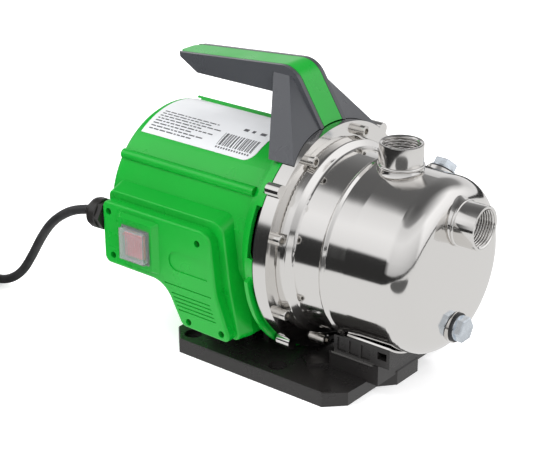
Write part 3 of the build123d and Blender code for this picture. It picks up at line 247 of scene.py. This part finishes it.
def grid_mesh(name, rows, caps=False):
    """Mesh of quads over rows of points. Each row closes on itself; caps fill both ends."""
    mesh = bpy.data.meshes.new(name)
    count = len(rows[0])
    points = [point for row in rows for point in row]
    faces = []
    for r in range(len(rows) - 1):
        for c in range(count):
            d = (c + 1) % count
            faces.append((r * count + c, r * count + d, (r + 1) * count + d, (r + 1) * count + c))
    if caps:
        faces.append(tuple(reversed(range(count))))
        faces.append(tuple(range((len(rows) - 1) * count, len(rows) * count)))
    mesh.from_pydata([tuple(p) for p in points], [], faces)
    mesh.validate()
    bm = bmesh.new()
    bm.from_mesh(mesh)
    bmesh.ops.recalc_face_normals(bm, faces=bm.faces)
    bm.to_mesh(mesh)
    bm.free()
    return mesh


def ring_rows(profile, origin, along, steps, radius_at=None):
    """Rows of points that turn a profile of (distance, radius) about a line."""
    along = along.normalized()
    side = along.orthogonal().normalized()
    other = along.cross(side)
    rows = []
    for distance, radius in profile:
        row = []
        for i in range(steps):
            angle = 2 * math.pi * i / steps
            here = radius if radius_at is None else radius_at(distance, radius, angle)
            outward = side * math.cos(angle) + other * math.sin(angle)
            row.append(origin + along * distance + outward * here)
        rows.append(row)
    return rows


# ---------------------------------------------------------------- threaded sockets
THREAD_PITCH = 2.309 * MM
THREAD_DEPTH = 1.35 * MM
THREAD_MINOR = 15.15 * MM
SOCKET_R = 18.5 * MM
BEAD_R = 19.8 * MM
THREAD_RINGS = 110
SOCKET_STEPS = 144
LEAD_IN = 1.0 * MM


def threaded_socket(node, seat, along, length):
    """Socket with a real helical pipe thread inside, a turned mouth and a weld bead at its root."""

    def thread_radius(distance, radius, angle):
        if radius > THREAD_MINOR + 1e-6:
            return radius
        phase = (distance / THREAD_PITCH - angle / (2 * math.pi)) % 1.0
        wave = 0.5 - 0.5 * math.cos(2 * math.pi * phase)
        fade = min(1.0, (length - distance) / THREAD_PITCH, distance / THREAD_PITCH)
        return radius + THREAD_DEPTH * max(0.0, fade) * wave ** 0.8

    depth = length - LEAD_IN
    inner = [(depth - depth * i / THREAD_RINGS, THREAD_MINOR) for i in range(THREAD_RINGS + 1)]
    bead = [
        (2.8 * MM - 1.4 * MM * (1 - math.cos(a)), SOCKET_R + 1.2 * MM * math.sin(a))
        for a in (0.2 * k for k in range(16))
    ]
    outer = [
        (0.0, THREAD_MINOR), (0.0, BEAD_R - 0.7 * MM), *reversed(bead),
        (length - 0.7 * MM, SOCKET_R), (length - 0.25 * MM, SOCKET_R - 0.12 * MM),
        (length, SOCKET_R - 0.6 * MM), (length, THREAD_MINOR + 1.5 * MM),
        (length - 0.35 * MM, THREAD_MINOR + 1.0 * MM),
    ]
    rows = ring_rows(outer + inner, seat, along, SOCKET_STEPS, thread_radius)
    mesh = grid_mesh(node + "_threaded", rows)
    piece = new_piece(node + "_threaded", mesh, "pump", "steel_hardware", MATERIALS["polished_steel"])
    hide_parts(node)


# ---------------------------------------------------------------- generic print on the label
LABEL_PRINT_R = 81.56 * MM
# along the pump in millimetres, around it in degrees up from the far side
TEXT_X = -176.0
TEXT_HEIGHT = 0.9
TEXT_ROWS = [
    (104.0, 62), (106.4, 55), (108.8, 66), (111.2, 50), (113.6, 60), (116.0, 44), (118.4, 58), (120.8, 48),
]
WORD_GAP = 1.3
BARS_X = -100.0
BAR_SPREAD = 1.35
BAR_ENDS = (109.5, 120.0)
BAR_STARTS = [
    0, 1.4, 2.2, 4.0, 4.8, 6.2, 7.9, 8.6, 10.4, 11.2, 12.9,
    14.6, 15.3, 17.0, 18.2, 19.8, 20.6, 22.3, 23.9, 24.7, 26.4, 27.6,
]
DOTS_X = -99.5
DOT_STEP = 2.9
DOT_WIDTH = 1.7
DOT_ENDS = (121.0, 122.3)
BLOCKS_X = -88.0
BLOCK_STEP = 9.0
BLOCK_WIDTHS = (5.0, 3.2, 6.0)
BLOCK_ENDS = (101.0, 103.6)


def make_label_print():
    """Rows of short dashes, three small blocks and a row of plain bars, as thin ink on the label."""
    mesh = bpy.data.meshes.new("label_print")
    points, faces = [], []

    def ink(x, width, first_deg, last_deg):
        start = len(points)
        steps = max(1, int((last_deg - first_deg) / 2))
        for i in range(steps + 1):
            angle = math.radians(first_deg + (last_deg - first_deg) * i / steps)
            y, z = LABEL_PRINT_R * math.cos(angle), AXIS_Z + LABEL_PRINT_R * math.sin(angle)
            points.extend([(x * MM, y, z), ((x + width) * MM, y, z)])
        for i in range(steps):
            a = start + 2 * i
            faces.append((a, a + 1, a + 3, a + 2))

    for row, (degrees, length) in enumerate(TEXT_ROWS):
        at = TEXT_X
        word = 3
        while at < TEXT_X + length:
            width = 2.4 + (word * 7 + row * 5) % 6
            ink(at, width, degrees, degrees + TEXT_HEIGHT)
            at += width + WORD_GAP
            word += 1
    for k, start in enumerate(BAR_STARTS):
        ink(BARS_X + BAR_SPREAD * start, 0.6 + 0.35 * (k % 3), *BAR_ENDS)
    for k in range(13):
        ink(DOTS_X + DOT_STEP * k, DOT_WIDTH, *DOT_ENDS)
    for k, width in enumerate(BLOCK_WIDTHS):
        ink(BLOCKS_X + BLOCK_STEP * k, width, *BLOCK_ENDS)
    mesh.from_pydata(points, [], faces)
    mesh.update()
    grey = moulded_plastic("label_ink", (0.10, 0.10, 0.11), 0.4, 0.05)
    new_piece("label_print", mesh, "pump", "label_film", grey)


# ---------------------------------------------------------------- mains cable
CABLE_D = 8.5 * MM
CABLE_EXIT = (-0.205, -0.0895, 0.1115)
COIL_CENTRE = Vector(((COIL_LOW.x + COIL_HIGH.x) / 2, (COIL_LOW.y + COIL_HIGH.y) / 2, 0.0))
COIL_INNER_R = 40.25 * MM
COIL_OUTER_R = 48.75 * MM
COIL_TOP_R = 44.5 * MM
COIL_LAST_R = 54.4 * MM
CABLE_ROUTE = [
    CABLE_EXIT, (-0.222, -0.0895, 0.1075), (-0.240, -0.0895, 0.0985), (-0.2575, -0.0895, 0.085),
    (-0.2725, -0.0895, 0.066), (-0.2865, -0.0895, 0.0435), (-0.302, -0.0895, 0.0225),
    (-0.322, -0.0895, 0.009), (-0.342, -0.0895, 0.0047), (-0.360, -0.08925, 0.0043),
]
# turns wound, radius, height of the cable's middle: each stretch is held between its two entries
COIL_STAGES = [
    (0.0, COIL_OUTER_R, 4.3 * MM), (0.66, COIL_OUTER_R, 4.3 * MM), (0.95, COIL_INNER_R, 4.3 * MM),
    (1.42, COIL_INNER_R, 4.3 * MM), (1.65, COIL_INNER_R, 12.8 * MM), (2.12, COIL_INNER_R, 12.8 * MM),
    (2.40, COIL_OUTER_R, 12.8 * MM), (2.87, COIL_OUTER_R, 12.8 * MM), (3.10, COIL_TOP_R, 21.3 * MM),
    (3.58, COIL_TOP_R, 21.3 * MM), (3.85, COIL_LAST_R, 20.6 * MM), (4.15, COIL_LAST_R, 20.6 * MM),
    (4.50, COIL_LAST_R, 18.0 * MM),
]
COIL_STEP = 1 / 18
PLUG_R = 18.0 * MM
PLUG_BOOT = 32.0 * MM
PLUG_BODY = 34.0 * MM
BOOT_RIDGES = 9
PIN_OFFSET = 9.5 * MM


def coil_point(turns):
    """Point of the coil after a number of turns, anticlockwise from where the cable joins it."""
    for (t0, r0, z0), (t1, r1, z1) in zip(COIL_STAGES, COIL_STAGES[1:]):
        if turns <= t1:
            share = (turns - t0) / (t1 - t0)
            break
    share = share * share * (3 - 2 * share)
    radius = r0 + (r1 - r0) * share
    angle = math.radians(90) + 2 * math.pi * turns
    height = z0 + (z1 - z0) * share
    return COIL_CENTRE + Vector((radius * math.cos(angle), radius * math.sin(angle), height))


def make_cable():
    """The whole mains cable as one smooth curve: hanging stretch, coil, and lead into the plug."""
    turns = COIL_STAGES[-1][0]
    wound = [coil_point(COIL_STEP * i) for i in range(int(turns / COIL_STEP + 0.5) + 1)]
    points = [Vector(p) for p in CABLE_ROUTE] + wound + [PLUG_ENTRY + Vector((1.5 * MM, 0, 0))]
    curve = bpy.data.curves.new("mains_cable_curve", "CURVE")
    curve.dimensions = "3D"
    curve.bevel_depth = CABLE_D / 2
    curve.bevel_resolution = 6
    curve.resolution_u = 8
    curve.use_fill_caps = True
    spline = curve.splines.new("NURBS")
    spline.points.add(len(points) - 1)
    for slot, point in zip(spline.points, points):
        slot.co = (*point, 1.0)
    spline.order_u = 3
    spline.use_endpoint_u = True
    curve.materials.append(MATERIALS["black_rubber"])
    cable = bpy.data.objects.new("mains_cable_rubber", curve)
    bpy.context.scene.collection.objects.link(cable)
    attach(cable, "pump")
    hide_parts("mains_cable", "cable_coil")
    return cable


def make_plug():
    """Round mains plug with a ribbed strain relief, a fluted grip and two pins."""
    along = Vector((1, 0, 0))
    grip = PLUG_BOOT + PLUG_BODY
    profile = [(0.0, 3.0 * MM), (0.0, 5.2 * MM)]
    for k in range(BOOT_RIDGES):
        at = 1.5 * MM + k * 2.3 * MM
        ridge = 5.4 * MM + k * 0.25 * MM
        profile += [(at, ridge), (at + 1.2 * MM, ridge), (at + 1.25 * MM, ridge - 0.9 * MM),
                    (at + 2.1 * MM, ridge - 0.85 * MM)]
    profile += [(PLUG_BOOT - 8 * MM, 8.2 * MM), (PLUG_BOOT - 3 * MM, 11.5 * MM),
                (PLUG_BOOT, PLUG_R - 1.6 * MM), (PLUG_BOOT + 3 * MM, PLUG_R - 0.2 * MM),
                (PLUG_BOOT + 6 * MM, PLUG_R), (grip - 1 * MM, PLUG_R), (grip, PLUG_R - 1 * MM),
                (grip, PLUG_R - 3.5 * MM), (grip - 1.2 * MM, PLUG_R - 4 * MM), (grip - 1.2 * MM, 0.01 * MM)]

    def fluted(distance, here, angle):
        if PLUG_BOOT + 5 * MM < distance < grip - 6 * MM:
            return here - 0.5 * MM * max(0.0, math.cos(16 * angle)) ** 3
        return here

    # long runs of the profile are divided, so that the flutes have points to follow
    fine = []
    for (d0, r0), (d1, r1) in zip(profile, profile[1:]):
        fine.append((d0, r0))
        if abs(d1 - d0) > 8 * MM:
            fine += [(d0 + (d1 - d0) * s / 12, r0 + (r1 - r0) * s / 12) for s in range(1, 12)]
    fine.append(profile[-1])
    mesh = grid_mesh("mains_plug_body", ring_rows(fine, PLUG_ENTRY, along, 96, fluted), caps=True)
    plug = new_piece("mains_plug_body", mesh, "pump", "black_rubber")
    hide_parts("mains_plug")
    pieces = [plug]
    pin = [(0, 0.01 * MM), (0, 2.35 * MM), (17.5 * MM, 2.35 * MM), (19.6 * MM, 2.1 * MM),
           (20.8 * MM, 1.2 * MM), (21.0 * MM, 0.01 * MM)]
    for sign in (-1, 1):
        start = PLUG_ENTRY + Vector((grip - 2 * MM, sign * PIN_OFFSET, 0))
        mesh = grid_mesh(f"plug_pin_{sign + 1}", ring_rows(pin, start, along, 32), caps=True)
        pieces.append(new_piece(f"plug_pin_{sign + 1}", mesh, "pump", "steel_hardware"))
    return pieces


# ---------------------------------------------------------------- floor, light and finish
FLOOR_GLOW = 0.5
FLOOR_HALF = 30.0
PATCH_EDGE = 0.04
# what polished steel shows of the floor is a painted reflection, a glow that only glossy rays see: centre,
# radius, brightness inside and outside
PAINTED_REFLECTION_PATCHES = [((1.2, 0.2, 0.0), 1.49, 0.80, 0.03), ((0.55, -0.65, 0.0), 0.40, 0.12, 0.80)]


def make_stage():
    """White floor; what the polished steel shows of it is a painted reflection: a glowing lit patch with a dark
    room beyond, seen by glossy rays only.
    """
    mesh = bpy.data.meshes.new("floor")
    corners = [(-1, -1), (1, -1), (1, 1), (-1, 1)]
    mesh.from_pydata([(x * FLOOR_HALF, y * FLOOR_HALF, 0) for x, y in corners], [], [(0, 1, 2, 3)])
    floor = bpy.data.objects.new("floor", mesh)
    bpy.context.scene.collection.objects.link(floor)
    pale = Shader("floor_paper_and_painted_reflection", (0.93, 0.93, 0.935), 0.75)
    pale.set("Specular IOR Level", 0.1)
    pale.set("Emission Color", (1.0, 1.0, 1.0, 1.0))
    pale.set("Emission Strength", FLOOR_GLOW)
    tree = pale.tree
    patches = []
    for centre, radius, inside, outside in PAINTED_REFLECTION_PATCHES:
        away = tree.nodes.new("ShaderNodeVectorMath")
        away.operation = "DISTANCE"
        away.inputs[1].default_value = centre
        tree.links.new(pale.place.outputs["Object"], away.inputs[0])
        patches.append(pale.spread(away.outputs["Value"], inside, outside, radius, radius + PATCH_EDGE))
    edge = tree.nodes.new("ShaderNodeMath")
    edge.operation = "MINIMUM"
    tree.links.new(patches[0], edge.inputs[0])
    tree.links.new(patches[1], edge.inputs[1])
    # painted reflection: glossy rays see the patch glow in place of the floor's own shading
    path = tree.nodes.new("ShaderNodeLightPath")
    painted_reflection = tree.nodes.new("ShaderNodeEmission")
    tree.links.new(edge.outputs["Value"], painted_reflection.inputs["Strength"])
    mix = tree.nodes.new("ShaderNodeMixShader")
    tree.links.new(path.outputs["Is Glossy Ray"], mix.inputs["Fac"])
    tree.links.new(pale.main.outputs["BSDF"], mix.inputs[1])
    tree.links.new(painted_reflection.outputs["Emission"], mix.inputs[2])
    tree.links.new(mix.outputs["Shader"], tree.nodes["Material Output"].inputs["Surface"])
    mesh.materials.append(pale.material)


def area_light(name, place, target, size, power):
    """Soft rectangular studio light aimed at a point, which reflections don't show."""
    data = bpy.data.lights.new(name, "AREA")
    data.shape = "RECTANGLE"
    data.size, data.size_y = size
    data.energy = power
    light = bpy.data.objects.new(name, data)
    light.location = place
    light.rotation_euler = (Vector(target) - Vector(place)).to_track_quat("-Z", "Y").to_euler()
    light.visible_glossy = False
    bpy.context.scene.collection.objects.link(light)


# brightness of the room by height, from straight down at -1 to straight up at 1
OPEN_SIDE = [(-1.0, 0.5), (0.0, 0.55), (0.25, 0.75), (0.60, 0.95), (0.83, 0.8), (0.88, 0.3), (1.0, 0.1)]
NEAR_SOFTBOX = [
    (-1.0, 0.5), (0.0, 0.03), (0.21, 0.035), (0.26, 0.92), (0.60, 1.05), (0.83, 0.9), (0.87, 0.12), (1.0, 0.08),
]
BACK_WALL = [(-1.0, 0.8), (0.0, 0.9), (0.30, 0.75), (0.42, 0.28), (0.80, 0.14), (1.0, 0.12)]
BACK_WINDOW = [(-1.0, 0.8), (0.0, 0.9), (0.30, 1.1), (0.60, 1.2), (0.85, 0.5), (1.0, 0.12)]
SEEN_WHITE = 1.3
ROOM_STRENGTH = 0.95


def make_world():
    """Studio room in fixed directions for the reflections; seen directly, it is plain white."""
    world = bpy.data.worlds.new("studio")
    bpy.context.scene.world = world
    world.use_nodes = True
    tree = world.node_tree
    background = tree.nodes["Background"]
    place = tree.nodes.new("ShaderNodeTexCoord")
    split = tree.nodes.new("ShaderNodeSeparateXYZ")
    tree.links.new(place.outputs["Generated"], split.inputs["Vector"])

    def share(axis, start, end):
        """0 to 1 as the direction's part along an axis goes from start to end."""
        node = tree.nodes.new("ShaderNodeMapRange")
        node.inputs["From Min"].default_value = start
        node.inputs["From Max"].default_value = end
        tree.links.new(split.outputs[axis], node.inputs["Value"])
        return node.outputs["Result"]

    def ramp(stops):
        """Grey level by height."""
        node = tree.nodes.new("ShaderNodeValToRGB")
        tree.links.new(share("Z", -1.0, 1.0), node.inputs["Fac"])
        for _ in stops[2:]:
            node.color_ramp.elements.new(0.5)
        for element, (height, level) in zip(node.color_ramp.elements, stops):
            element.position = (height + 1) / 2
            element.color = (level, level, level * 1.01, 1.0)
        return node.outputs["Color"]

    def mixed(factor, first, second):
        """First colour where the factor is 0, second where it is 1."""
        node = tree.nodes.new("ShaderNodeMix")
        node.data_type = "RGBA"
        tree.links.new(factor, node.inputs[0])
        tree.links.new(first, node.inputs[6])
        if isinstance(second, tuple):
            node.inputs[7].default_value = second
        else:
            tree.links.new(second, node.inputs[7])
        return node.outputs[2]

    back = mixed(share("X", 0.1, 0.4), ramp(BACK_WALL), ramp(BACK_WINDOW))
    front = mixed(share("X", -0.44, -0.26), ramp(NEAR_SOFTBOX), ramp(OPEN_SIDE))
    room = mixed(share("Y", -0.12, 0.05), front, back)
    path = tree.nodes.new("ShaderNodeLightPath")
    white = (SEEN_WHITE, SEEN_WHITE, SEEN_WHITE, 1.0)
    tree.links.new(mixed(path.outputs["Is Camera Ray"], room, white), background.inputs["Color"])
    background.inputs["Strength"].default_value = ROOM_STRENGTH


make_camera()
cable = make_cable()
plug = make_plug()
threaded_socket("discharge_socket", Vector(((DISCHARGE_LOW.x + DISCHARGE_HIGH.x) / 2, 0, DISCHARGE_LOW.z)),
                Vector((0, 0, 1)), DISCHARGE_HIGH.z - DISCHARGE_LOW.z)
threaded_socket("suction_socket", Vector((SUCTION_LOW.x, 0, (SUCTION_LOW.z + SUCTION_HIGH.z) / 2)),
                Vector((1, 0, 0)), SUCTION_HIGH.x - SUCTION_LOW.x)

for entry in frame["record"]["subparts"]:
    node = NODES[entry["node"]]
    node.data.materials.clear()
    node.data.materials.append(MATERIALS[entry["material_slot"]])

make_label_print()
make_stage()
make_world()
area_light("key_softbox", (-1.2, -0.8, 1.7), (0.0, 0.0, 0.1), (1.2, 1.2), 24)
area_light("side_softbox", (1.5, -0.9, 1.3), (0.0, 0.0, 0.1), (1.0, 1.0), 9)
area_light("top_softbox", (-0.3, 0.9, 1.7), (-0.05, 0.0, 0.1), (1.4, 1.0), 10)
bpy.context.scene.view_settings.view_transform = "Standard"

bpy.context.view_layer.update()
